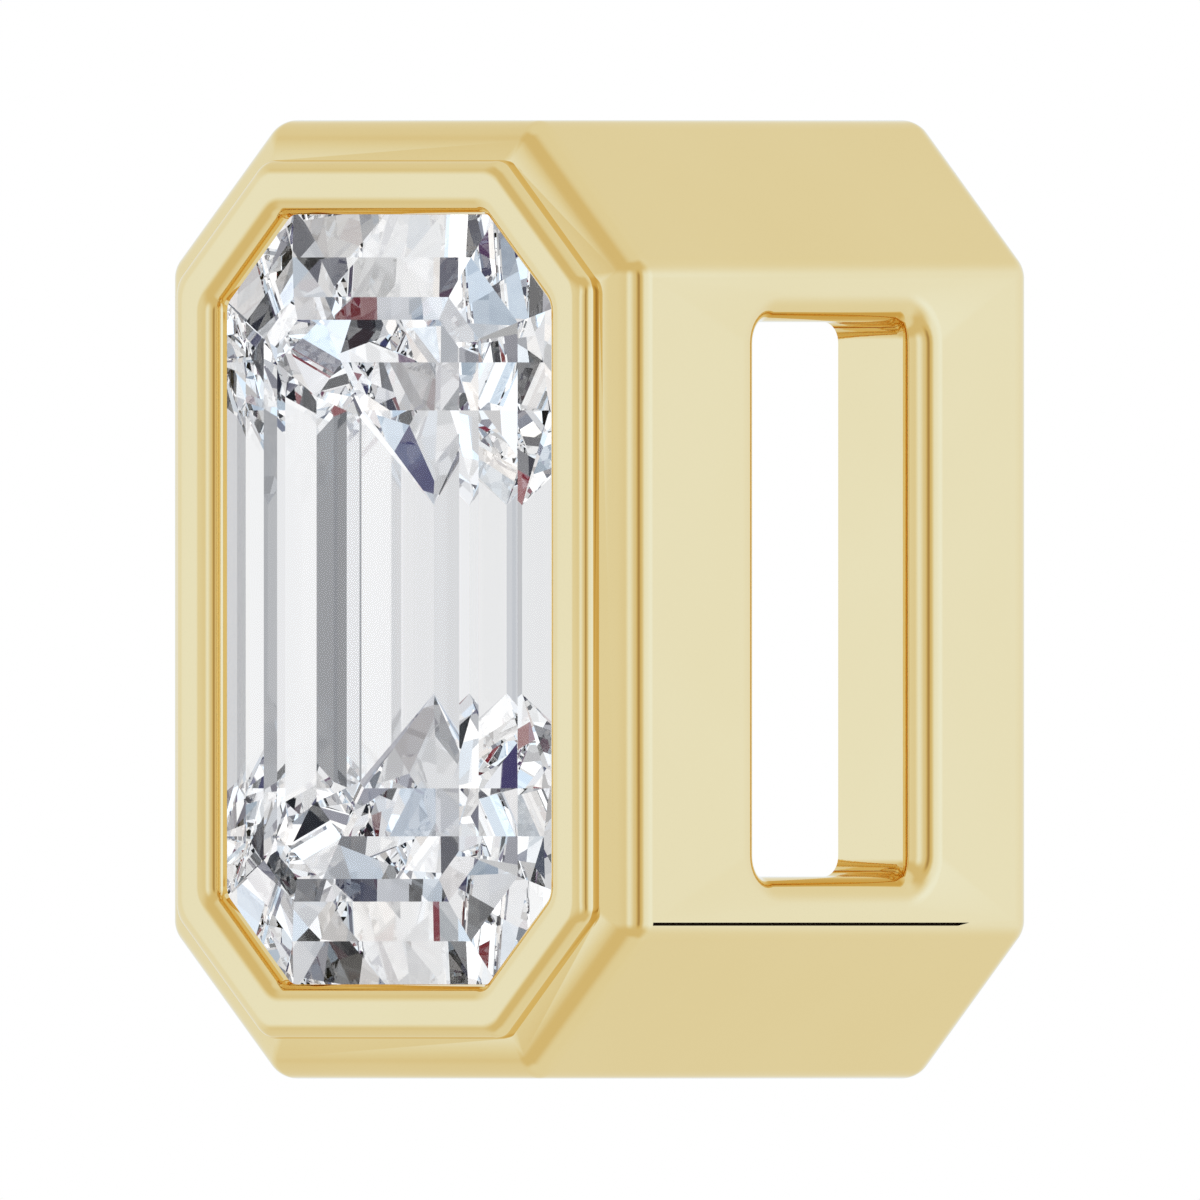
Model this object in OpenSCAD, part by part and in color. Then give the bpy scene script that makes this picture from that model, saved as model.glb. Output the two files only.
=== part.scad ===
// Slide pendant: a step cut stone with cut corners, set in an octagonal bezel
// on a gold body. Behind the stone the body is an open-backed tunnel with a
// slot through each side wall for a chain. It stands on its lower flat with
// its front towards -Y. Depths run back from the front of the rim. Insets run
// inwards from the octagon's eight outer faces.

/* [Body] */
// Height between the upper and lower flats
body_h = 6; // [5.2:0.05:8]
// Width between the side faces
body_w = 4.085; // [3.7:0.005:5]
// Depth from the front of the rim to the open back
body_d = 3.85; // [3.6:0.05:6]
// Leg of the 45 degree cut at each corner of the octagon
corner_cut = 0.91; // [0.75:0.01:1]
// Thickness of the tunnel's walls
wall_t = 0.72; // [0.6:0.01:0.9]
// Radius on the eight edges between the octagon's faces
edge_r = 0.2; // [0.05:0.01:0.3]
// Radius round the open back
back_r = 0.2; // [0.05:0.01:0.3]

/* [Bezel] */
// Width of the sloping shoulder outside the rim
shoulder_w = 0.25; // [0.18:0.01:0.35]
// Slope of the shoulder, in degrees
shoulder_slope = 20; // [5:1:40]
// Radius between the shoulder and the octagon's faces
shoulder_r = 0.2; // [0.05:0.01:0.25]
// Height of the rim above the inner edge of the shoulder
rim_h = 0.157; // [0.13:0.001:0.25]
// Radius on the rim's eight outer corners
rim_corner_r = 0.17; // [0.03:0.01:0.25]
// Width of the rim, from the shoulder to the opening for the stone
rim_w = 0.34; // [0.28:0.01:0.4]
// Radius on the rim's outer edge
rim_outer_r = 0.11; // [0.03:0.01:0.12]
// Radius on the rim's inner edge
rim_inner_r = 0.135; // [0.03:0.005:0.14]

/* [Stone] */
// How far the rim covers the girdle all round
girdle_cover = 0.05; // [0.04:0.01:0.12]
// Thickness of the girdle
girdle_t = 0.03; // [0.02:0.01:0.1]
// Height of the crown, from the girdle to the table
crown_h = 0.27; // [0.24:0.01:0.4]
// Distance from the girdle in to the edge of the table
crown_run = 0.71; // [0.6:0.01:0.9]
// How far the table stands out in front of the rim
table_proud = 0.066; // [0:0.002:0.12]
// Depth of the pavilion, from the girdle to the keel
pavilion_h = 1.758; // [1.4:0.002:2]
// Length of the keel
keel_l = 1.18; // [1.1:0.01:1.3]
// Gap between the stone and the metal
stone_gap = 0.015; // [0.01:0.005:0.03]

/* [Chain slots] */
// Distance from the front of the rim back to the slots
slot_d = 1.4; // [1.3:0.01:1.5]
// Height of each slot
slot_h = 3.47; // [2.5:0.01:3.6]
// Width of each slot, from front to back
slot_w = 1.4; // [0.8:0.01:1.5]
// Radius in the corners of each slot
slot_r = 0.13; // [0.05:0.01:0.4]
// Radius rolled over the edge of each slot's mouth
mouth_r = 0.2; // [0.05:0.01:0.25]

/* [Seam] */
// How far the seam lies below the flat of the right-hand side face
seam_drop = 0.016; // [0:0.002:0.05]
// Width of the hairline seam
seam_w = 0.02; // [0.01:0.005:0.05]
// Depth of the seam below the metal's surface
seam_t = 0.04; // [0.02:0.005:0.1]
// Length of the seam, back from the shoulder
seam_l = 2.75; // [1:0.05:2.9]

/* [Hidden] */
$fn = 64;

gold = [0.90, 0.84, 0.62];
crystal = [0.93, 0.95, 0.98, 0.6];

// Steps of the crown, outermost first.
// Columns: share of the run inwards, share of the rise.
CROWN_STEPS = [[0.45, 0.55], [0.8, 0.9], [1, 1]];
// Steps of the pavilion above the one that ends in the keel, outermost first.
// Columns: share of the rise, then the share of the girdle's half width
// inwards on the sides, at the ends and at the cut corners.
PAVILION_STEPS = [[0.6, 0.45, 0.65, 0.6], [0.75, 0.65, 0.85, 0.8]];
SIDES = 1;
ENDS = 2;
CORNERS = 3;

half_w = body_w / 2;
half_h = body_h / 2;
half_diagonal = (half_w + half_h - corner_cut) / sqrt(2);
front_y = (table_proud - body_d) / 2;

// Opposite faces of the octagon.
// Columns: turn about Y, half distance between the two faces.
PAIRS = [[0, half_w], [90, half_h], [45, half_diagonal], [-45, half_diagonal]];

// The rim and the shoulder
rim_inset = shoulder_w;
opening_inset = rim_inset + rim_w;
shoulder_corner_d = rim_h + shoulder_w * tan(shoulder_slope);
shoulder_end_d = shoulder_corner_d + shoulder_r * tan((90 - shoulder_slope) / 2);

// The stone and the metal that it sits in
girdle_inset = opening_inset - girdle_cover;
pocket_inset = girdle_inset - stone_gap;
girdle_front_d = crown_h - table_proud;
girdle_back_d = girdle_front_d + girdle_t;
girdle_half_w = half_w - girdle_inset;
crown_slope = crown_h * CROWN_STEPS[0][1] / (crown_run * CROWN_STEPS[0][0]);
pavilion_slope = pavilion_h * PAVILION_STEPS[0][0] / (girdle_half_w * PAVILION_STEPS[0][SIDES]);
lip_d = girdle_front_d - stone_gap;
seat_low_d = girdle_back_d + pavilion_slope * (wall_t - pocket_inset);

// Room that cutters and prisms reach past the metal
past = 1;
// How far the prism that rounds the octagon's edges stands outside its faces,
// so that it trims the edges and leaves the faces alone
hair = 0.001;
long = 2 * (body_h + body_w);

// Where a pair's faces meet the end of the keel, measured across the pair
function keel_reach(turn) = abs(sin(turn)) * keel_l / 2;

// Column of the pavilion's steps that a pair of faces takes its widths from
function step_column(turn) = turn == 0 ? SIDES : turn == 90 ? ENDS : CORNERS;

// Points on one side of the middle, followed by their mirror images
function both_sides(points) =
    concat(points, [for (i = [len(points) - 1 : -1 : 0]) [-points[i][0], points[i][1]]]);

// Intersects one prism of the section for each pair of faces. $half is the
// half distance between the pair, $reach where the pair meets the keel's end
// and $column where its pavilion steps stand in their list.
module all_round() {
    intersection_for (pair = PAIRS)
        rotate([0, pair[0], 0])
            linear_extrude(height = long, center = true) {
                $half = pair[1];
                $reach = keel_reach(pair[0]);
                $column = step_column(pair[0]);
                children();
            }
}

// Two discs, one on each side of the middle
module disc_pair(across, depth, radius) {
    for (side = [-1, 1]) translate([side * across, depth]) circle(r = radius);
}

// Octagon with rounded corners, at an inset from the outer faces
module rounded_octagon(inset, radius) {
    across = half_w - inset;
    up = half_h - inset;
    cut = corner_cut - inset * (2 - sqrt(2));
    trim = radius * tan(22.5);
    for (x = [-1, 1], z = [-1, 1]) {
        translate([x * (across - radius), z * (up - cut - trim)]) circle(r = radius);
        translate([x * (across - cut - trim), z * (up - radius)]) circle(r = radius);
    }
    polygon([
        for (quarter = [[1, 1], [-1, 1], [-1, -1], [1, -1]])
            let (points = [
                [across, up - cut - trim],
                [across - trim / sqrt(2), up - cut + trim / sqrt(2)],
                [across - cut + trim / sqrt(2), up - trim / sqrt(2)],
                [across - cut - trim, up]
            ])
            for (i = quarter[0] * quarter[1] > 0 ? [0 : 3] : [3 : -1 : 0])
                [quarter[0] * points[i][0], quarter[1] * points[i][1]]
    ]);
}

// The rounded octagon as a prism, from one depth to another
module rounded_prism(inset, radius, from_d, to_d) {
    translate([0, from_d, 0])
        rotate([90, 0, 0])
            mirror([0, 0, 1])
                linear_extrude(height = to_d - from_d) rounded_octagon(inset, radius);
}

// Outer section of the body between one pair of faces, with its shoulder
module body_section() {
    polygon(both_sides([
        [$half - rim_inset, rim_h],
        [$half - shoulder_r * (1 - sin(shoulder_slope)), shoulder_end_d - shoulder_r * cos(shoulder_slope)],
        [$half, shoulder_end_d],
        [$half, body_d - back_r],
        [$half - back_r, body_d]
    ]));
    disc_pair($half - shoulder_r, shoulder_end_d, shoulder_r);
    disc_pair($half - back_r, body_d - back_r, back_r);
}

// Outer section of the rim, which runs back into the body
module rim_section() {
    edge = $half - rim_inset;
    polygon(both_sides([
        [edge - rim_outer_r, 0],
        [edge, rim_outer_r],
        [edge, rim_h],
        [edge - rim_w, shoulder_end_d]
    ]));
    disc_pair(edge - rim_outer_r, rim_outer_r, rim_outer_r);
}

// Section of the hollow: flared opening, pocket and seat for the stone, tunnel
module inner_section() {
    flare = $half - opening_inset + rim_inner_r;
    difference() {
        translate([-flare, -past]) square([2 * flare, past + rim_inner_r]);
        disc_pair(flare, rim_inner_r, rim_inner_r);
    }
    polygon(both_sides([
        [$half - opening_inset, 0],
        [$half - opening_inset, lip_d - crown_slope * girdle_cover],
        [$half - pocket_inset, lip_d + crown_slope * stone_gap],
        [$half - pocket_inset, girdle_back_d],
        [$half - wall_t, seat_low_d],
        [$half - wall_t, body_d + past]
    ]));
}

// Section of the stone: table, crown steps, girdle and pavilion steps
module stone_section() {
    girdle_half = $half - girdle_inset;
    polygon(both_sides(concat(
        [for (i = [len(CROWN_STEPS) - 1 : -1 : 0])
            [girdle_half - crown_run * CROWN_STEPS[i][0], girdle_front_d - crown_h * CROWN_STEPS[i][1]]],
        [[girdle_half, girdle_front_d], [girdle_half, girdle_back_d]],
        [for (step = PAVILION_STEPS)
            [girdle_half - girdle_half_w * step[$column], girdle_back_d + pavilion_h * step[0]]],
        [[$reach, girdle_back_d + pavilion_h]]
    )));
}

// Section of the metal that a slot's rolled mouth removes. The centre of the
// slot's corner is at 0 across, and the side face is at 0 up.
module mouth_section() {
    difference() {
        translate([0, -mouth_r]) square([slot_r + mouth_r, mouth_r + past]);
        translate([slot_r + mouth_r, -mouth_r]) circle(r = mouth_r);
    }
}

// Cutter for a slot's mouth, lying flat with the side face at 0 up
module mouth() {
    straight_w = slot_w - 2 * slot_r;
    straight_h = slot_h - 2 * slot_r;
    for (turn = [0, 180]) {
        rotate(turn) translate([straight_w / 2, 0, 0]) mouth_edge(straight_h);
        rotate(turn + 90) translate([straight_h / 2, 0, 0]) mouth_edge(straight_w);
    }
    for (x = [-1, 1], y = [-1, 1])
        translate([x * straight_w / 2, y * straight_h / 2, 0])
            rotate_extrude() mouth_section();
}

// Cutter along one straight edge of a mouth
module mouth_edge(length) {
    rotate([90, 0, 0]) linear_extrude(height = length, center = true) mouth_section();
}

// Rounded outline of a slot
module slot_outline() {
    square([slot_w - 2 * slot_r, slot_h], center = true);
    square([slot_w, slot_h - 2 * slot_r], center = true);
    for (x = [-1, 1], y = [-1, 1])
        translate([x * (slot_w / 2 - slot_r), y * (slot_h / 2 - slot_r)]) circle(r = slot_r);
}

// Cutter for the slots in both side walls
module chain_slots() {
    translate([0, slot_d + slot_w / 2, 0])
        rotate([90, 0, 90]) {
            linear_extrude(height = body_w + 2 * past, center = true) slot_outline();
            for (side = [0, 1]) mirror([0, 0, side]) translate([0, 0, half_w]) mouth();
        }
}

// Cutter for the hairline seam, just below the right-hand side face
module seam() {
    face_end = corner_cut - half_h + edge_r * tan(22.5);
    translate([half_w - seam_t, shoulder_end_d, face_end - seam_drop - seam_w])
        cube([seam_t + past, seam_l, seam_w]);
}

// Moves the octagon's centre line and the front of the rim into place
module in_place() {
    translate([0, front_y, half_h]) children();
}

module setting() {
    color(gold)
        in_place()
            difference() {
                union() {
                    intersection() {
                        all_round() body_section();
                        rounded_prism(-hair, edge_r, -past, body_d + past);
                    }
                    intersection() {
                        all_round() rim_section();
                        rounded_prism(rim_inset - hair, rim_corner_r, -past, body_d);
                    }
                }
                all_round() inner_section();
                chain_slots();
                seam();
            }
}

module stone() {
    color(crystal) in_place() all_round() stone_section();
}

setting();
stone();
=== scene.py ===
"""A slide pendant: a step cut stone in a stepped octagonal bezel on an open-backed gold tunnel.

Lengths are in metres. The part stands on its lower flat with its front towards -Y. Depths run
back from the front of the rim, and insets run inwards from the octagon's eight outer faces.
"""

import logging
import math
from dataclasses import dataclass, field
from enum import Enum

import bmesh
import bpy
import numpy as np
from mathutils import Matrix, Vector

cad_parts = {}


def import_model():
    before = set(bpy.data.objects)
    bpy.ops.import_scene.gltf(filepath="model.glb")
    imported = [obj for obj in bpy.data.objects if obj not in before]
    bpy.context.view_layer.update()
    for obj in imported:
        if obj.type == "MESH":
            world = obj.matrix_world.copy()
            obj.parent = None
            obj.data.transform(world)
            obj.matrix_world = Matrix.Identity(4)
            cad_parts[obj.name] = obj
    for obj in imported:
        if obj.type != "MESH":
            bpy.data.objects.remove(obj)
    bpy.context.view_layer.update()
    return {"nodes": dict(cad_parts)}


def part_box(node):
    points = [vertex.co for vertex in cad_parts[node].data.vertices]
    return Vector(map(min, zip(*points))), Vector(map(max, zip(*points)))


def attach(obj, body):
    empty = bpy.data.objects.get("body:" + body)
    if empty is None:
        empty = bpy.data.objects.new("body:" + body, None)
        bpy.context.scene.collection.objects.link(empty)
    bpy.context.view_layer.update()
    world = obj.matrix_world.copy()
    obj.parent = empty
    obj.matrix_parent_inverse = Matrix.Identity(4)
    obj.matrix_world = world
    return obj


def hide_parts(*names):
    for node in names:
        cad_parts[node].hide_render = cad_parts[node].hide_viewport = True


log = logging.getLogger("slide_pendant")

MM = 0.001
EIGHTH_TURN = 45.0
HALF_TURN = 180.0
FULL_TURN = 360.0
LAST_AZIMUTH = 179.9
MERGE_DISTANCE = 0.0004 * MM
SEAM_TOLERANCE = 1e-9
SHARP_ANGLE = 28.0
LIGHT_BOUNCES = 48
MIX_SHARE, MIX_FIRST, MIX_SECOND, MIX_COLOUR = 0, 6, 7, 2
WHITE = (1.0, 1.0, 1.0, 1.0)
BLACK = (0.0, 0.0, 0.0, 1.0)
COOL_RED = 0.06
COOL_BLUE = 0.12


class Side(Enum):
    """The two side walls of the body."""

    RIGHT = 1
    LEFT = -1


def arc(centre: tuple[float, float], radius: float, start: float, end: float, steps: int) -> np.ndarray:
    """Points on a circle: centre plus radius times the cosine and sine of evenly spaced angles.

    Args:
        centre: Middle of the circle, as across and up.
        radius: Radius of the circle.
        start: First angle, in degrees.
        end: Last angle, in degrees.
        steps: Number of steps from the first point to the last.

    Returns:
        Array of steps + 1 points with two columns.
    """
    angles = np.radians(np.linspace(start, end, steps + 1))
    return np.stack([centre[0] + radius * np.cos(angles), centre[1] + radius * np.sin(angles)], axis=1)


def grid_faces(rows: int, columns: int, wrap: bool) -> np.ndarray:
    """Quads of a grid of points: each joins a point, its right neighbour and the two below them.

    Args:
        rows: Number of rows of points.
        columns: Number of points in a row.
        wrap: Whether the last column joins the first.

    Returns:
        Array of quads, each with four indices.
    """
    index = np.arange(rows * columns).reshape(rows, columns)
    if wrap:
        index = np.concatenate([index, index[:, :1]], axis=1)
    corners = [index[:-1, :-1], index[:-1, 1:], index[1:, 1:], index[1:, :-1]]
    return np.stack([part.ravel() for part in corners], axis=1)


@dataclass
class Octagon:
    """Octagonal outline of the body, seen from the front.

    Attributes:
        half_w: Half width between the side faces.
        half_h: Half height between the flats.
        cut: Leg of the 45 degree cut at each corner.
        corner_steps: Steps round each of the eight rounded corners.
        seam_turn: Where the seam's two edges lie on the lower right corner, in degrees from its lower end.
        seam_column: Column of that corner's first seam edge.
    """

    half_w: float = 2.0425 * MM
    half_h: float = 3.0 * MM
    cut: float = 0.91 * MM
    corner_steps: int = 10
    seam_turn: tuple[float, float] = (34.63, 40.41)
    seam_column: int = 8

    def loop(self, inset: np.ndarray, radius: np.ndarray) -> np.ndarray:
        """Rounded octagons, one for each inset.

        Each corner's arc has its centre one radius inside both faces that meet there, and its
        points are that centre plus the radius times a direction that turns through 45 degrees.

        Args:
            inset: Distance inside the outer faces, one for each loop.
            radius: Radius of the loop's eight corners, one for each loop.

        Returns:
            Array of loops by points by (x, z), counter-clockwise seen from the front.
        """
        across = self.half_w - inset
        up = self.half_h - inset
        cut = self.cut - inset * (2 - math.sqrt(2))
        trim = radius * math.tan(math.pi / 8)
        upper = np.stack([across - radius, up - cut - trim], axis=1)
        outer = np.stack([across - cut - trim, up - radius], axis=1)
        mirror = np.array([-1.0, 1.0])
        centres = [
            upper, outer, outer * mirror, upper * mirror,
            -upper, -outer, -outer * mirror, -upper * mirror,
        ]
        turn = np.tile(np.linspace(0.0, EIGHTH_TURN, self.corner_steps + 1), (8, 1))
        turn[7, self.seam_column:self.seam_column + 2] = self.seam_turn
        angles = np.radians(np.arange(8)[:, None] * EIGHTH_TURN + turn)
        direction = np.stack([np.cos(angles), np.sin(angles)], axis=-1)
        middle = np.stack(centres, axis=1)
        points = middle[:, :, None, :] + radius[:, None, None, None] * direction[None]
        return points.reshape(len(inset), -1, 2)

    def flat_half_height(self, inset: float, radius: float) -> float:
        """Half height of a side face's flat between its rounded ends."""
        cut = self.cut - inset * (2 - math.sqrt(2))
        return self.half_h - inset - cut - radius * math.tan(math.pi / 8)


def place(across: np.ndarray, depth: np.ndarray, up: np.ndarray, origin: Vector) -> np.ndarray:
    """Points in the part's frame from across, depth behind the rim's front and height off the middle."""
    return np.stack([across, origin.y + depth, origin.z + up], axis=-1).reshape(-1, 3)


def closed_mesh(name: str, points: np.ndarray, faces: list[list[int]],
                finish: np.ndarray) -> bpy.types.Object:
    """Makes one closed mesh object from patches whose rims coincide.

    Args:
        name: Name of the object and its mesh.
        points: All points of all patches.
        faces: All faces of all patches.
        finish: Material slot of each face.

    Returns:
        The new object, linked to the scene, with its faces pointing outwards.
    """
    mesh = bpy.data.meshes.new(name)
    mesh.from_pydata(points.tolist(), [], faces)
    mesh.polygons.foreach_set("material_index", finish.astype(np.int32))
    work = bmesh.new()
    work.from_mesh(mesh)
    bmesh.ops.remove_doubles(work, verts=work.verts, dist=MERGE_DISTANCE)
    bmesh.ops.dissolve_degenerate(work, edges=work.edges, dist=MERGE_DISTANCE)
    bmesh.ops.recalc_face_normals(work, faces=work.faces)
    open_edges = sum(1 for edge in work.edges if len(edge.link_faces) != 2)
    work.to_mesh(mesh)
    work.free()
    made = bpy.data.objects.new(name, mesh)
    bpy.context.scene.collection.objects.link(made)
    counts = (len(mesh.vertices), len(mesh.polygons), open_edges)
    log.info("%s: %d points, %d faces, %d open edges", name, *counts)
    return made


@dataclass
class Setting:
    """The gold casting: stepped bezel, octagonal body, tunnel and chain slots, in one piece.

    Attributes are the part's sizes in metres: insets from the octagon's faces and depths behind
    the front of the rim.
    """

    octagon: Octagon = field(default_factory=Octagon)
    origin: Vector = field(default_factory=Vector)
    body_d: float = 3.85 * MM
    wall_t: float = 0.72 * MM
    edge_r: float = 0.2 * MM
    back_r: float = 0.2 * MM
    inner_edge_r: float = 0.03 * MM
    shoulder_w: float = 0.25 * MM
    shoulder_slope: float = 20.0
    shoulder_r: float = 0.2 * MM
    rim_h: float = 0.157 * MM
    rim_w: float = 0.34 * MM
    rim_corner_r: float = 0.17 * MM
    opening_corner_r: float = 0.12 * MM
    rim_outer_r: float = 0.11 * MM
    rim_inner_r: float = 0.135 * MM
    pocket_inset: float = 0.525 * MM
    lip_d: float = 0.166 * MM
    lip_pocket_d: float = 0.196 * MM
    pocket_d: float = 0.234 * MM
    seat_d: float = 0.5382 * MM
    slot_d: float = 1.4 * MM
    slot_w: float = 1.4 * MM
    slot_h: float = 3.47 * MM
    slot_r: float = 0.13 * MM
    mouth_r: float = 0.2 * MM
    seam_drop: float = 0.016 * MM
    seam_w: float = 0.02 * MM
    seam_t: float = 0.04 * MM
    seam_l: float = 2.75 * MM
    seam_taper: float = 0.1 * MM
    steps: int = 10
    inner_edge_steps: int = 4

    @property
    def opening_inset(self) -> float:
        """Inset of the opening for the stone."""
        return self.shoulder_w + self.rim_w

    @property
    def shoulder_end_d(self) -> float:
        """Depth at which the shoulder's fillet meets the octagon's faces."""
        slope = math.radians(self.shoulder_slope)
        corner = self.rim_h + self.shoulder_w * math.tan(slope)
        return corner + self.shoulder_r * math.tan((math.pi / 2 - slope) / 2)

    def outer_profile(self) -> np.ndarray:
        """Profile from the rim's opening out over the rim and shoulder to the octagon's faces.

        Returns:
            Array of points with columns inset, depth and corner radius.
        """
        flare = self.opening_inset - self.rim_inner_r
        inner = arc((flare, self.rim_inner_r), self.rim_inner_r, 0, -90, self.steps)
        edge = self.shoulder_w + self.rim_outer_r
        outer = arc((edge, self.rim_outer_r), self.rim_outer_r, -90, -180, self.steps)
        fillet_end = 180 + 90 - self.shoulder_slope
        fillet = arc((self.shoulder_r, self.shoulder_end_d), self.shoulder_r, fillet_end, 180, self.steps)
        foot = np.array([[self.shoulder_w, self.rim_h]])
        across = np.concatenate([inner, outer, foot, foot, fillet])
        rim_rows = len(inner) + len(outer) + 1
        inset = across[:, 0]
        growth = self.opening_corner_r + (self.opening_inset - inset)
        blend = np.clip((inset - self.shoulder_w) / (flare - self.shoulder_w), 0, 1)
        rim_radius = np.where(inset >= flare, growth, blend * (self.opening_corner_r + self.rim_inner_r)
                              + (1 - blend) * self.rim_corner_r)
        body_radius = np.maximum(self.edge_r - inset, 0)
        rows = np.arange(len(inset))
        radius = np.where(rows < rim_rows, rim_radius, body_radius)
        return np.column_stack([across, radius])

    def back_profile(self) -> np.ndarray:
        """Profile from the octagon's faces round the back edge, in to the tunnel's wall.

        Returns:
            Array of points with columns inset, depth and corner radius.
        """
        outer = arc((self.back_r, self.body_d - self.back_r), self.back_r, 180, 90, self.steps)
        edge = self.wall_t - self.inner_edge_r
        depth = self.body_d - self.inner_edge_r
        inner = arc((edge, depth), self.inner_edge_r, 90, 0, self.inner_edge_steps)
        across = np.concatenate([outer, inner])
        return np.column_stack([across, np.maximum(self.edge_r - across[:, 0], 0)])

    def inner_profile(self) -> np.ndarray:
        """Profile of the pocket from the tunnel's wall up to the opening for the stone.

        Returns:
            Array of points with columns inset, depth and corner radius.
        """
        across = np.array([
            [self.wall_t, self.seat_d],
            [self.pocket_inset, self.pocket_d],
            [self.pocket_inset, self.lip_pocket_d],
            [self.opening_inset, self.lip_d],
            [self.opening_inset, self.rim_inner_r],
        ])
        radius = np.array([0.0, 0.0, 0.0, self.opening_corner_r, self.opening_corner_r])
        return np.column_stack([across, radius])

    def sweep(self, profile: np.ndarray) -> tuple[np.ndarray, np.ndarray]:
        """Carries a profile round the octagon: each of its points becomes a rounded octagon.

        Args:
            profile: Points with columns inset, depth and corner radius.

        Returns:
            The points and the quads of the swept surface.
        """
        loops = self.octagon.loop(profile[:, 0], profile[:, 2])
        depth = np.broadcast_to(profile[:, 1][:, None], loops.shape[:2])
        points = place(loops[..., 0], depth, loops[..., 1], self.origin)
        return points, grid_faces(len(profile), loops.shape[1], wrap=True)

    def seam(self, patch: np.ndarray, quads: np.ndarray, column: int) -> tuple[np.ndarray, list[list[int]]]:
        """Cuts the hairline seam into one long quad of the body's lower right corner.

        The groove has four mouth points on the quad's long edges and four floor points straight
        inwards, level with them. The quad's neighbours take the two new mouth points as well.

        Args:
            patch: Points of the body's faces, front row first.
            quads: Quads between the two rows.
            column: Which quad the seam is cut into.

        Returns:
            The points with the groove's own added, and all faces, the groove's five last.
        """
        before, own, after = (quads[column + step].tolist() for step in (-1, 0, 1))
        low, high, back_high, back_low = own
        mouth = patch[[high, low]].copy()
        mouth[:, 1] = self.origin.y + self.shoulder_end_d + self.seam_l + np.array([self.seam_taper, 0.0])
        floor = np.concatenate([patch[[low, high]], mouth])
        floor[:, 0] = self.octagon.half_w - self.seam_t
        end_high, end_low = len(patch), len(patch) + 1
        deep = [len(patch) + 2 + step for step in range(4)]
        rim = [low, high, end_high, end_low]
        faces = [quad for at, quad in enumerate(quads.tolist()) if abs(at - column) > 1]
        faces.append([before[0], low, end_low, back_low, before[3]])
        faces.append([high, after[1], after[2], back_high, end_high])
        faces.append([end_low, end_high, back_high, back_low])
        faces += [[rim[at], rim[(at + 1) % 4], deep[(at + 1) % 4], deep[at]] for at in range(4)]
        faces.append(deep)
        return np.concatenate([patch, mouth, floor]), faces

    def walls(self) -> tuple[np.ndarray, list[list[int]]]:
        """Flat faces of the body between shoulder and back, and of the tunnel, without the side walls.

        Returns:
            The points and the faces. The two side faces are left open for the slotted walls.
        """
        outer = np.array([
            [0.0, self.shoulder_end_d, self.edge_r],
            [0.0, self.body_d - self.back_r, self.edge_r],
        ])
        inner = np.array([
            [self.wall_t, self.body_d - self.inner_edge_r, 0.0],
            [self.wall_t, self.seat_d, 0.0],
        ])
        per_face = self.octagon.corner_steps + 1
        side_faces = (4 * per_face - 1, 8 * per_face - 1)
        points, faces, count = [], [], 0
        for rows in (outer, inner):
            patch, quads = self.sweep(rows)
            quads = np.delete(quads, side_faces, axis=0)
            kept = quads.tolist()
            if rows is outer:
                column = 7 * per_face + self.octagon.seam_column - 1
                patch, kept = self.seam(patch, quads, column)
            points.append(patch)
            faces += [[index + count for index in face] for face in kept]
            count += len(patch)
        return np.concatenate(points), faces

    def slot_loop(self, grow: np.ndarray) -> np.ndarray:
        """Rounded rectangles round a slot, each grown evenly by a distance.

        Args:
            grow: How far each loop stands outside the slot.

        Returns:
            Array of loops by points by (depth, up), a quarter of the points at each corner.
        """
        half = np.array([self.slot_w, self.slot_h]) / 2 - self.slot_r
        signs = np.array([[1, 1], [-1, 1], [-1, -1], [1, -1]])
        turn = np.linspace(0, 90, self.steps + 1)
        angles = np.radians(np.arange(4)[:, None] * 90 + turn[None, :])
        direction = np.stack([np.cos(angles), np.sin(angles)], axis=-1)
        radius = (self.slot_r + grow)[:, None, None, None]
        points = (signs * half)[None, :, None, :] + radius * direction[None]
        points = points.reshape(len(grow), -1, 2)
        points[..., 0] += self.slot_d + self.slot_w / 2
        return points

    def slotted_wall(self, side: Side) -> tuple[np.ndarray, list[list[int]]]:
        """One side wall with its chain slot: two flat faces joined by the slot's rolled wall.

        The slot's wall is a quarter circle that rolls in from the side face, then a straight run
        to the tunnel. Each flat face joins its four corners to the slot's loop.

        Args:
            side: Which side wall.

        Returns:
            The points and the faces.
        """
        roll = arc((self.mouth_r, self.mouth_r), self.mouth_r, 270, 180, self.steps)
        inset = np.append(roll[:, 1], self.wall_t)
        grow = np.append(roll[:, 0], 0.0)
        loops = self.slot_loop(grow)
        across = (self.octagon.half_w - inset)[:, None] * side.value
        across = np.broadcast_to(across, loops.shape[:2])
        points = [place(across, loops[..., 0], loops[..., 1], self.origin)]
        columns = loops.shape[1]
        faces = grid_faces(len(inset), columns, wrap=True).tolist()
        count = len(points[0])
        quarter = columns // 4
        ends = (
            (0, 0.0, self.edge_r, self.shoulder_end_d, self.body_d - self.back_r),
            (len(inset) - 1, self.wall_t, 0.0, self.seat_d, self.body_d - self.inner_edge_r),
        )
        for row, wall_inset, radius, front, back in ends:
            high = self.octagon.flat_half_height(wall_inset, radius)
            depth = np.array([back, front, front, back])
            up = np.array([high, high, -high, -high])
            x = np.full(4, (self.octagon.half_w - wall_inset) * side.value)
            points.append(place(x, depth, up, self.origin))
            for corner in range(4):
                first = row * columns + corner * quarter
                following = row * columns + (corner + 1) % 4 * quarter
                outer = count + corner
                fan = [[outer, first + step, first + step + 1] for step in range(quarter - 1)]
                bridge = [outer, first + quarter - 1, following, count + (corner + 1) % 4]
                faces += fan + [bridge]
            count += 4
        return np.concatenate(points), faces

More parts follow.
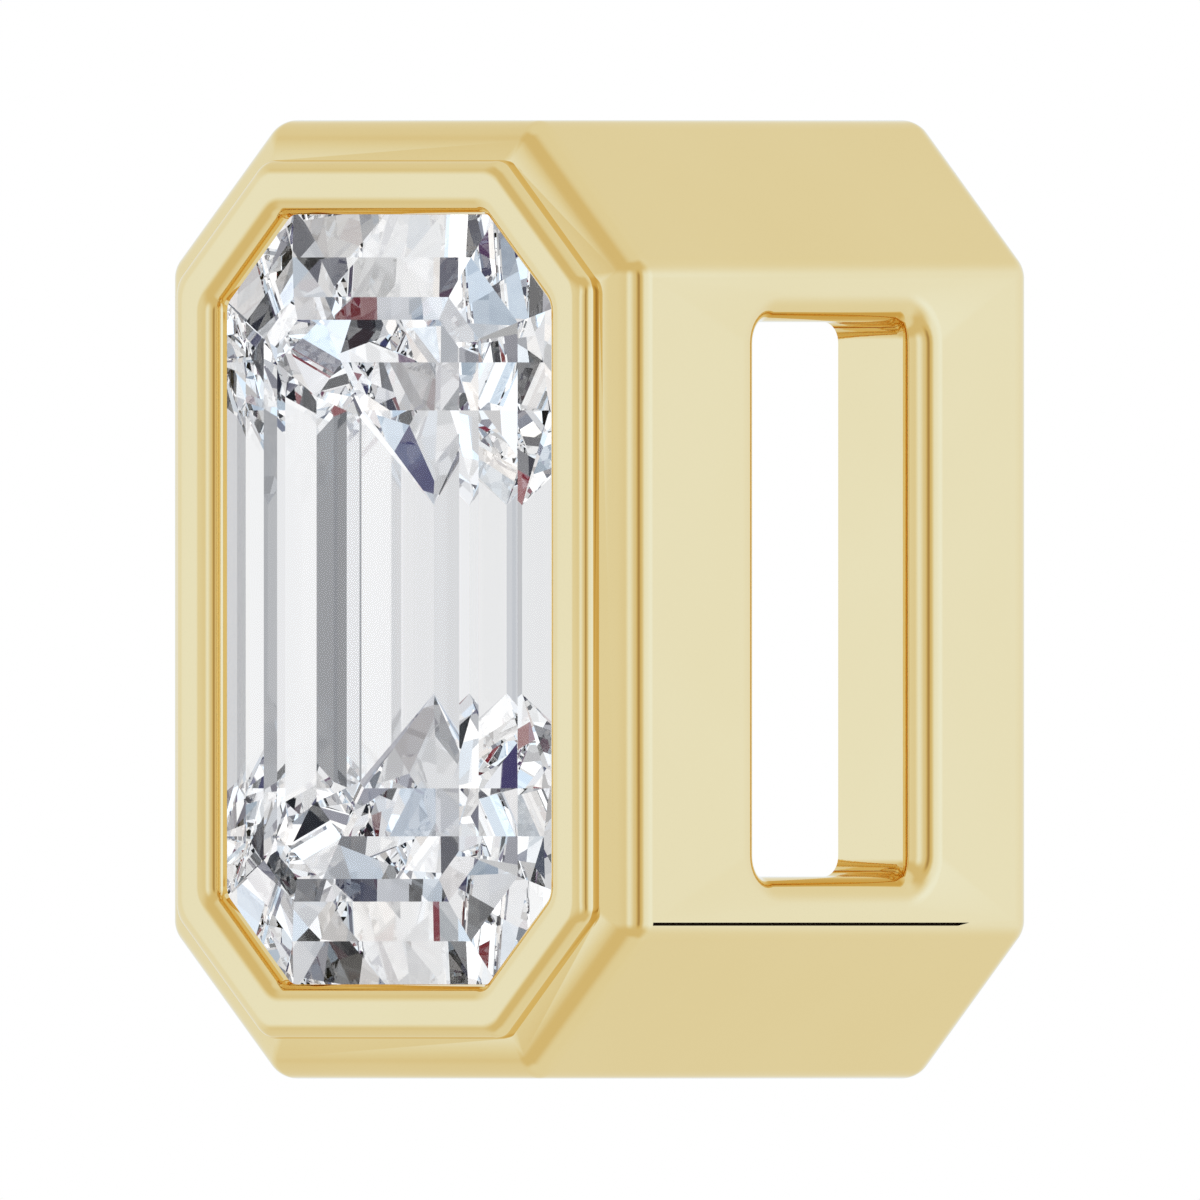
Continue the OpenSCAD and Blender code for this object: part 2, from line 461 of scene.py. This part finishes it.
    def build(self) -> bpy.types.Object:
        """Joins the swept surfaces and the slotted walls into one closed casting."""
        patches = [
            self.sweep(self.outer_profile()),
            self.sweep(self.back_profile()),
            self.sweep(self.inner_profile()),
            self.walls(),
            self.slotted_wall(Side.RIGHT),
            self.slotted_wall(Side.LEFT),
        ]
        points, faces, count = [], [], 0
        for patch, quads in patches:
            points.append(patch)
            faces += [[index + count for index in face] for face in np.asarray(quads, dtype=object).tolist()]
            count += len(patch)
        # Faces with a point on the groove's floor take slot 1, the painted shade of the seam.
        floor_x = self.octagon.half_w - self.seam_t
        joined = np.concatenate(points)
        in_seam = np.isclose(joined[:, 0], floor_x, rtol=0, atol=SEAM_TOLERANCE)
        finish = np.array([any(in_seam[index] for index in face) for face in faces])
        made = closed_mesh("gold_setting", joined, faces, finish)
        made.data.shade_smooth()
        made.data.set_sharp_from_angle(angle=math.radians(SHARP_ANGLE))
        weighted = made.modifiers.new("even_shading", "WEIGHTED_NORMAL")
        weighted.keep_sharp = True
        weighted.weight = 100
        made.visible_transmission = False
        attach(made, "root")
        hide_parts("setting")
        return made


def new_material(name: str) -> tuple[bpy.types.Material, bpy.types.Node]:
    """Makes a material and returns it with its Principled shader."""
    material = bpy.data.materials.new(name)
    material.use_nodes = True
    return material, material.node_tree.nodes["Principled BSDF"]


class Graph:
    """Short ways to add shader nodes to a tree."""

    def __init__(self, tree: bpy.types.NodeTree) -> None:
        """Keeps the tree that the nodes go into."""
        self.tree = tree

    def node(self, kind: str, **settings: object) -> bpy.types.Node:
        """Adds a node and sets its properties.

        Args:
            kind: Blender's name of the node.
            settings: Properties of the node and their values.

        Returns:
            The new node.
        """
        made = self.tree.nodes.new(kind)
        for name, value in settings.items():
            setattr(made, name, value)
        return made

    def feed(self, socket: bpy.types.NodeSocket, value: object) -> None:
        """Links a socket to another, or sets its value."""
        if isinstance(value, bpy.types.NodeSocket):
            self.tree.links.new(value, socket)
        else:
            socket.default_value = value

    def math(self, operation: str, *values: object) -> bpy.types.NodeSocket:
        """Adds a Math node for one operation on one to three values."""
        made = self.node("ShaderNodeMath", operation=operation)
        for socket, value in zip(made.inputs, values):
            self.feed(socket, value)
        return made.outputs[0]

    def mix(self, share: object, first: object, second: object) -> bpy.types.NodeSocket:
        """Mixes two colours: the first at share 0, the second at share 1."""
        made = self.node("ShaderNodeMix", data_type="RGBA")
        self.feed(made.inputs[MIX_SHARE], share)
        self.feed(made.inputs[MIX_FIRST], first)
        self.feed(made.inputs[MIX_SECOND], second)
        return made.outputs[MIX_COLOUR]

    def ramp(self, value: object, stops: list[tuple[float, tuple]], blend: str) -> bpy.types.NodeSocket:
        """Adds a colour ramp.

        Args:
            value: Where to read the ramp, from 0 to 1.
            stops: Places and colours.
            blend: Interpolation between the stops.

        Returns:
            The colour socket.
        """
        made = self.node("ShaderNodeValToRGB")
        ramp = made.color_ramp
        ramp.interpolation = blend
        while len(ramp.elements) > 1:
            ramp.elements.remove(ramp.elements[-1])
        ramp.elements[0].position, ramp.elements[0].color = stops[0]
        for place_at, colour in stops[1:]:
            ramp.elements.new(place_at).color = colour
        self.feed(made.inputs[0], value)
        return made.outputs[0]


@dataclass(frozen=True)
class HandPolish:
    """Traces of a polishing wheel: soft clouds where it dwelt, and hairlines that it left.

    The group puts out a cloud mask, a hairline mask and the normal that the hairlines tilt.

    Attributes:
        name: Name of the node group.
    """

    name: str = "hand_polish"

    def group(self) -> bpy.types.NodeTree:
        """Builds the group once, and returns it from then on."""
        known = bpy.data.node_groups.get(self.name)
        if known is not None:
            return known
        tree = bpy.data.node_groups.new(self.name, "ShaderNodeTree")
        for label, default in (("Cloud Scale", 900.0), ("Line Scale", 9000.0), ("Line Depth", 0.1)):
            given_in = tree.interface.new_socket(label, in_out="INPUT", socket_type="NodeSocketFloat")
            given_in.default_value = default
        for label, kind in (("Cloud", "Float"), ("Line", "Float"), ("Normal", "Vector")):
            tree.interface.new_socket(label, in_out="OUTPUT", socket_type="NodeSocket" + kind)
        graph = Graph(tree)
        given = graph.node("NodeGroupInput").outputs
        put_out = graph.node("NodeGroupOutput").inputs
        place_at = graph.node("ShaderNodeTexCoord").outputs["Object"]
        cloud = graph.node("ShaderNodeTexNoise")
        graph.feed(cloud.inputs["Vector"], place_at)
        graph.feed(cloud.inputs["Scale"], given["Cloud Scale"])
        cloud.inputs["Detail"].default_value = 3.0
        drawn = graph.node("ShaderNodeMapping")
        graph.feed(drawn.inputs["Vector"], place_at)
        drawn.inputs["Rotation"].default_value = (0.5, 0.35, 0.9)
        drawn.inputs["Scale"].default_value = (1.0, 0.06, 1.0)
        line = graph.node("ShaderNodeTexNoise")
        graph.feed(line.inputs["Vector"], drawn.outputs[0])
        graph.feed(line.inputs["Scale"], given["Line Scale"])
        line.inputs["Detail"].default_value = 2.0
        thin = graph.node("ShaderNodeMapRange")
        graph.feed(thin.inputs["Value"], line.outputs["Fac"])
        thin.inputs["From Min"].default_value = 0.3
        thin.inputs["From Max"].default_value = 0.7
        bump = graph.node("ShaderNodeBump")
        bump.inputs["Distance"].default_value = 0.001 * MM
        graph.feed(bump.inputs["Strength"], given["Line Depth"])
        graph.feed(bump.inputs["Height"], thin.outputs[0])
        graph.feed(put_out["Cloud"], cloud.outputs["Fac"])
        graph.feed(put_out["Line"], thin.outputs[0])
        graph.feed(put_out["Normal"], bump.outputs[0])
        return tree

    def place(self, graph: Graph, cloud_scale: float, line_scale: float, line_depth: float) -> bpy.types.Node:
        """Adds the group to a material.

        Args:
            graph: Tree of the material.
            cloud_scale: Clouds to the metre.
            line_scale: Hairlines to the metre.
            line_depth: Strength of the hairlines' tilt, from 0 to 1.

        Returns:
            The group's node.
        """
        made = graph.node("ShaderNodeGroup", node_tree=self.group())
        made.inputs["Cloud Scale"].default_value = cloud_scale
        made.inputs["Line Scale"].default_value = line_scale
        made.inputs["Line Depth"].default_value = line_depth
        return made


@dataclass(frozen=True)
class PolishedGold:
    """Polished yellow gold with faint wheel marks."""

    colour: tuple[float, float, float, float] = (0.90, 0.72, 0.38, 1.0)
    deep: tuple[float, float, float, float] = (0.892, 0.708, 0.366, 1.0)
    smooth: float = 0.03
    dull: float = 0.055
    cloud_scale: float = 700.0
    line_scale: float = 12000.0
    line_depth: float = 0.12
    line_share: float = 0.4

    def make(self) -> bpy.types.Material:
        """Builds the material: the clouds deepen the colour a little and dull the polish."""
        material, shader = new_material("polished_gold")
        graph = Graph(material.node_tree)
        polish = HandPolish().place(graph, self.cloud_scale, self.line_scale, self.line_depth)
        soft = graph.node("ShaderNodeMapRange")
        graph.feed(soft.inputs["Value"], polish.outputs["Cloud"])
        soft.inputs["From Min"].default_value = 0.35
        soft.inputs["From Max"].default_value = 0.65
        graph.feed(shader.inputs["Base Color"], graph.mix(soft.outputs[0], self.colour, self.deep))
        clouds = graph.math("MULTIPLY", soft.outputs[0], 1 - self.line_share)
        spread = graph.math("MULTIPLY_ADD", polish.outputs["Line"], self.line_share, clouds)
        rough = graph.math("MULTIPLY_ADD", spread, self.dull - self.smooth, self.smooth)
        graph.feed(shader.inputs["Roughness"], rough)
        graph.feed(shader.inputs["Normal"], polish.outputs["Normal"])
        shader.inputs["Metallic"].default_value = 1.0
        return material


@dataclass(frozen=True)
class PaintedSeamShade:
    """Painted shade in the bottom of the hairline seam: a dark colour stands in for the shadow in the groove.
    """

    colour: tuple[float, float, float, float] = (0.034, 0.015, 0.002, 1.0)
    darker: tuple[float, float, float, float] = (0.018, 0.007, 0.001, 1.0)
    roughness: float = 0.7
    cloud_scale: float = 6000.0
    line_scale: float = 20000.0

    def make(self) -> bpy.types.Material:
        """Builds the material: the painted shade is darker in clouds."""
        material, shader = new_material("painted_seam_shade")
        graph = Graph(material.node_tree)
        polish = HandPolish().place(graph, self.cloud_scale, self.line_scale, 0.3)
        graph.feed(shader.inputs["Base Color"], graph.mix(polish.outputs["Cloud"], self.colour, self.darker))
        graph.feed(shader.inputs["Normal"], polish.outputs["Normal"])
        shader.inputs["Roughness"].default_value = self.roughness
        shader.inputs["Specular IOR Level"].default_value = 0.1
        return material


@dataclass(frozen=True)
class ClearStone:
    """Clear, highly refractive faceted stone that the gold mirrors as if it weren't there."""

    colour: tuple[float, float, float, float] = (1.0, 1.0, 1.0, 1.0)
    zone: tuple[float, float, float, float] = (0.985, 0.992, 1.0, 1.0)
    cloud_scale: float = 500.0
    line_scale: float = 15000.0
    refraction: float = 2.593
    clarity: float = 0.9

    def make(self) -> bpy.types.Material:
        """Builds the material: a mirrored ray that meets the stone from outside passes straight through."""
        material, shader = new_material("clear_stone")
        shader.inputs["Roughness"].default_value = 0.0
        shader.inputs["IOR"].default_value = self.refraction
        shader.inputs["Transmission Weight"].default_value = 1.0
        graph = Graph(material.node_tree)
        polish = HandPolish().place(graph, self.cloud_scale, self.line_scale, 0.0)
        colour = graph.mix(polish.outputs["Cloud"], self.colour, self.zone)
        graph.feed(shader.inputs["Base Color"], colour)
        path = graph.node("ShaderNodeLightPath")
        back = graph.node("ShaderNodeNewGeometry").outputs["Backfacing"]
        outside = graph.math("MAXIMUM", graph.math("SUBTRACT", 1.0, back), path.outputs["Transparent Depth"])
        passing = graph.math("MULTIPLY", path.outputs["Is Glossy Ray"], graph.math("MINIMUM", outside, 1.0))
        clear = graph.node("ShaderNodeBsdfTransparent")
        entering = graph.math("MULTIPLY", path.outputs["Is Camera Ray"], graph.math("SUBTRACT", 1.0, back))
        refracted = graph.node("ShaderNodeBsdfRefraction")
        graph.feed(refracted.inputs["Color"], colour)
        graph.feed(refracted.inputs["Roughness"], 0.0)
        graph.feed(refracted.inputs["IOR"], self.refraction)
        faced = graph.node("ShaderNodeMixShader")
        graph.feed(faced.inputs[0], graph.math("MULTIPLY", entering, self.clarity))
        graph.feed(faced.inputs[1], shader.outputs[0])
        graph.feed(faced.inputs[2], refracted.outputs[0])
        mixed = graph.node("ShaderNodeMixShader")
        graph.feed(mixed.inputs[0], passing)
        graph.feed(mixed.inputs[1], faced.outputs[0])
        graph.feed(mixed.inputs[2], clear.outputs[0])
        graph.feed(material.node_tree.nodes["Material Output"].inputs["Surface"], mixed.outputs[0])
        return material


@dataclass(frozen=True)
class PaleFloor:
    """Matt pale board with a fine grain."""

    colour: tuple[float, float, float, float] = (0.91, 0.91, 0.91, 1.0)
    grain: tuple[float, float, float, float] = (0.88, 0.88, 0.88, 1.0)
    smooth: float = 0.55
    rough: float = 0.7
    scale: float = 2500.0

    def make(self) -> bpy.types.Material:
        """Builds the material: the grain darkens and roughens the board a little."""
        material, shader = new_material("pale_floor")
        graph = Graph(material.node_tree)
        noise = graph.node("ShaderNodeTexNoise")
        graph.feed(noise.inputs["Vector"], graph.node("ShaderNodeTexCoord").outputs["Object"])
        noise.inputs["Scale"].default_value = self.scale
        grain = noise.outputs["Fac"]
        graph.feed(shader.inputs["Base Color"], graph.mix(grain, self.colour, self.grain))
        rough = graph.math("MULTIPLY_ADD", grain, self.rough - self.smooth, self.smooth)
        graph.feed(shader.inputs["Roughness"], rough)
        return material


@dataclass(frozen=True)
class Panel:
    """One panel of the tent's wall.

    Attributes:
        azimuth: Compass angle: 0 is the front, 90 the part's right.
        level: Brightness.
        cool: How far its light leans to blue, from 0 to 1.
    """

    azimuth: float
    level: float
    cool: float = 0.0

    @property
    def colour(self) -> tuple[float, float, float, float]:
        """Colour of the panel's light."""
        red = self.level * (1 - COOL_RED * self.cool)
        blue = self.level * (1 + COOL_BLUE * self.cool)
        return (red, self.level, blue, 1.0)


@dataclass(frozen=True)
class Cards:
    """Grey and dark cards with coloured rims, scattered over the tent away from the horizon.

    Attributes:
        size: How many fit across the tent, as the scale of a noise of the direction.
        stretch: Scale of the noise along each axis.
        shades: Colours that the tent is multiplied by as the noise rises, from a card's middle outwards.
        gel_size: The same scale for the coloured gels in front of them.
        gels: Colours of the gels as their noise rises.
        start: Height, as a share of straight up, at which the cards begin and reach full strength.
    """

    size: float
    stretch: tuple[float, float, float]
    shades: tuple[tuple[float, tuple[float, float, float]], ...]
    gel_size: float
    gels: tuple[tuple[float, tuple[float, float, float]], ...]
    start: tuple[float, float] = (0.06, 0.16)

    def noise(self, graph: Graph, direction: bpy.types.NodeSocket, scale: float) -> bpy.types.NodeSocket:
        """Noise of a direction, at a scale."""
        moved = graph.node("ShaderNodeVectorMath", operation="MULTIPLY")
        graph.feed(moved.inputs[0], direction)
        graph.feed(moved.inputs[1], self.stretch)
        noise = graph.node("ShaderNodeTexNoise")
        graph.feed(noise.inputs["Vector"], moved.outputs[0])
        noise.inputs["Scale"].default_value = scale
        noise.inputs["Detail"].default_value = 1.0
        return noise.outputs["Fac"]

    def cover(self, graph: Graph, lit: bpy.types.NodeSocket, direction: bpy.types.NodeSocket,
              height: bpy.types.NodeSocket) -> bpy.types.NodeSocket:
        """Puts the cards and gels in front of the tent's light.

        Args:
            graph: Tree to add the nodes to.
            lit: Colour of the tent's light.
            direction: Direction looked along.
            height: Height above or below the horizon, as a share of straight up.

        Returns:
            The colour socket.
        """
        fade = graph.ramp(height, [(self.start[0], BLACK), (self.start[1], WHITE)], "LINEAR")
        screens = ((self.size, self.shades), (self.gel_size, self.gels))
        for size, colours in screens:
            stops = [(at, colour + (1.0,)) for at, colour in colours]
            shaded = graph.node("ShaderNodeMix", data_type="RGBA", blend_type="MULTIPLY")
            cards = graph.ramp(self.noise(graph, direction, size), stops, "LINEAR")
            graph.feed(shaded.inputs[MIX_SHARE], fade)
            graph.feed(shaded.inputs[MIX_FIRST], lit)
            graph.feed(shaded.inputs[MIX_SECOND], cards)
            lit = shaded.outputs[MIX_COLOUR]
        return lit


@dataclass(frozen=True)
class Tent:
    """Light tent round the part, the same above as below: a wall, a cove that curves in and a cap.

    Attributes:
        wall: Levels round the horizon.
        cove: Levels round the tent at half height.
        cap: Level straight above and below.
        rise: Heights between which the wall turns into the cove.
        close: Heights between which the cove turns into the cap.
        tints: Colour of the tent at each level, if it isn't the panels' own.
        cards: Cards in front of the tent, if any.
    """

    wall: tuple[Panel, ...]
    cove: tuple[Panel, ...]
    cap: float
    rise: tuple[float, float] = (0.18, 0.62)
    close: tuple[float, float] = (0.82, 0.97)
    tints: tuple[tuple[float, tuple[float, float, float]], ...] = ()
    cards: Cards | None = None

    def ring(self, graph: Graph, share: bpy.types.NodeSocket,
             panels: tuple[Panel, ...]) -> bpy.types.NodeSocket:
        """Levels of one ring of panels, read by the share of a full turn."""
        stops = [((panel.azimuth + HALF_TURN) / FULL_TURN, panel.colour) for panel in panels]
        return graph.ramp(share, stops, "EASE")

    def colour(self, graph: Graph, direction: bpy.types.NodeSocket) -> bpy.types.NodeSocket:
        """Colour seen along a direction: the wall's level, blended to the cove's and the cap's by height.

        Args:
            graph: Tree to add the nodes to.
            direction: Socket of the direction looked along.

        Returns:
            The colour socket.
        """
        split = graph.node("ShaderNodeSeparateXYZ")
        graph.feed(split.inputs[0], direction)
        right, back, up = split.outputs
        angle = graph.math("ARCTAN2", right, graph.math("MULTIPLY", back, -1.0))
        share = graph.math("MULTIPLY_ADD", angle, 1 / (2 * math.pi), 0.5)
        height = graph.math("ABSOLUTE", up)
        rise = graph.ramp(height, [(self.rise[0], BLACK), (self.rise[1], WHITE)], "EASE")
        close = graph.ramp(height, [(self.close[0], BLACK), (self.close[1], WHITE)], "EASE")
        lit = graph.mix(rise, self.ring(graph, share, self.wall), self.ring(graph, share, self.cove))
        lit = graph.mix(close, lit, (self.cap,) * 3 + (1.0,))
        if self.tints:
            lit = graph.ramp(lit, [(at, tint + (1.0,)) for at, tint in self.tints], "LINEAR")
        if self.cards is not None:
            lit = self.cards.cover(graph, lit, direction, height)
        return lit


def flagged_wall(light: float, reach: float, cool: float, flags: tuple[float, ...]) -> tuple[Panel, ...]:
    """Wall of one brightness with soft flags hung at equal steps round it.

    Args:
        light: Level between the flags.
        reach: Degrees from a flag's middle to its edge.
        cool: How far a flag leans to blue, from 0 to 1.
        flags: Level of each flag.

    Returns:
        The wall's panels.
    """
    step = FULL_TURN / len(flags)
    panels = [Panel(-HALF_TURN, light)]
    for index, level in enumerate(flags):
        middle = step * (index + 0.5) - HALF_TURN
        panels += [Panel(middle - reach, light), Panel(middle, level, cool), Panel(middle + reach, light)]
    return tuple(panels) + (Panel(LAST_AZIMUTH, light),)


METAL_TENT = Tent(
    wall=(
        Panel(-180, 0.65), Panel(-60, 0.65), Panel(-45, 0.8), Panel(-25, 0.8), Panel(-10, 0.5),
        Panel(25, 0.45), Panel(40, 0.8), Panel(60, 0.4), Panel(75, 0.1), Panel(85, 0.3), Panel(100, 0.8),
        Panel(125, 0.95), Panel(140, 0.75), Panel(LAST_AZIMUTH, 0.65),
    ),
    cove=(
        Panel(-180, 0.5), Panel(-75, 0.45), Panel(-30, 0.3), Panel(90, 0.3), Panel(135, 0.55),
        Panel(LAST_AZIMUTH, 0.5),
    ),
    cap=0.5,
    tints=(
        (0.0, (0.25, 0.12, 0.03)), (0.25, (0.7, 0.6, 0.35)), (0.5, (0.82, 0.85, 0.82)),
        (1.0, (0.95, 1.15, 1.6)),
    ),
)
STONE_TENT = Tent(
    wall=flagged_wall(0.9, 14.0, 0.5, (0.4, 0.15, 0.65, 0.3, 0.55, 0.4, 0.65, 0.3)),
    cove=(Panel(-180, 0.9), Panel(-120, 1.05), Panel(0, 0.8, 0.4), Panel(60, 1.05), Panel(LAST_AZIMUTH, 0.9)),
    cap=1.15,
    rise=(0.1, 0.4),
    cards=Cards(
        size=3.2,
        stretch=(1.0, 1.0, 1.6),
        shades=(
            (0.0, (0.0, 0.0, 0.0)), (0.37, (0.0, 0.0, 0.0)), (0.38, (0.25, 0.0, 0.0)),
            (0.39, (0.05, 0.05, 0.15)), (0.41, (0.05, 0.05, 0.05)), (0.43, (0.2, 0.2, 0.25)),
            (0.45, (0.5, 0.5, 0.5)), (0.5, (0.8, 0.8, 0.8)), (0.55, (1.0, 1.0, 1.0)),
            (0.7, (1.5, 1.5, 1.5)),
        ),
        gel_size=5.5,
        gels=(
            (0.35, (0.8, 0.95, 1.1)), (0.45, (1.0, 1.0, 1.0)), (0.55, (1.0, 1.0, 1.0)),
            (0.65, (1.05, 1.0, 0.95)),
        ),
    ),
)


@dataclass
class Studio:
    """Plain studio: white world, pale floor and the camera of the photograph."""

    metal_tent: Tent = METAL_TENT
    stone_tent: Tent = STONE_TENT

    azimuth: float = 44.0
    frame_width: float = 1200 / 159.75 * MM
    middle: tuple[float, float, float] = (0.0, 0.131 * MM, 2.996 * MM)
    distance: float = 40 * MM
    floor_half: float = 0.2

    def camera(self) -> bpy.types.Object:
        """Level parallel view from 44 degrees to the right of the front."""
        data = bpy.data.cameras.new("camera")
        data.type = "ORTHO"
        data.ortho_scale = self.frame_width
        data.clip_start = 0.1 * MM
        data.clip_end = 1.0
        made = bpy.data.objects.new("camera", data)
        bpy.context.scene.collection.objects.link(made)
        angle = math.radians(self.azimuth)
        back = Vector((math.sin(angle), -math.cos(angle), 0.0))
        made.location = Vector(self.middle) + back * self.distance
        made.rotation_euler = (-back).to_track_quat("-Z", "Y").to_euler()
        bpy.context.scene.camera = made
        return made

    def floor(self) -> bpy.types.Object:
        """Plain pale floor under the part, hidden from the gold and the stone, which see the tents."""
        half = self.floor_half
        corners = [(-half, -half, 0.0), (half, -half, 0.0), (half, half, 0.0), (-half, half, 0.0)]
        mesh = bpy.data.meshes.new("floor")
        mesh.from_pydata(corners, [], [(0, 1, 2, 3)])
        made = bpy.data.objects.new("floor", mesh)
        bpy.context.scene.collection.objects.link(made)
        mesh.materials.append(PaleFloor().make())
        made.visible_glossy = False
        made.visible_transmission = False
        return made

    def world(self) -> None:
        """White to the camera, a light tent for the metal and a brighter one for the stone."""
        world = bpy.data.worlds.new("studio")
        bpy.context.scene.world = world
        world.use_nodes = True
        graph = Graph(world.node_tree)
        background = world.node_tree.nodes["Background"]
        direction = graph.node("ShaderNodeTexCoord").outputs["Generated"]
        path = graph.node("ShaderNodeLightPath")
        tent = graph.mix(path.outputs["Is Transmission Ray"], self.metal_tent.colour(graph, direction),
                         self.stone_tent.colour(graph, direction))
        plain = graph.math("MAXIMUM", path.outputs["Is Camera Ray"], path.outputs["Is Diffuse Ray"])
        seen = graph.mix(plain, tent, WHITE)
        world.node_tree.links.new(seen, background.inputs["Color"])


def main() -> None:
    """Builds the pendant and its studio."""
    logging.basicConfig(level=logging.INFO, format="%(message)s")
    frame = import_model()
    studio = Studio()
    studio.camera()
    studio.world()
    studio.floor()
    low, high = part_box("setting")
    setting = Setting(origin=Vector((0.0, high.y - Setting.body_d, (low.z + high.z) / 2)))
    gold = setting.build()
    gold.data.materials.append(PolishedGold().make())
    # Second slot: painted shade for the seam's groove.
    gold.data.materials.append(PaintedSeamShade().make())
    stone = frame["nodes"]["stone"]
    stone.data.materials.clear()
    stone.data.materials.append(ClearStone().make())
    scene = bpy.context.scene
    scene.view_settings.view_transform = "Standard"
    scene.cycles.max_bounces = LIGHT_BOUNCES
    scene.cycles.transmission_bounces = LIGHT_BOUNCES
    scene.cycles.glossy_bounces = LIGHT_BOUNCES


if __name__ == "__main__":
    main()
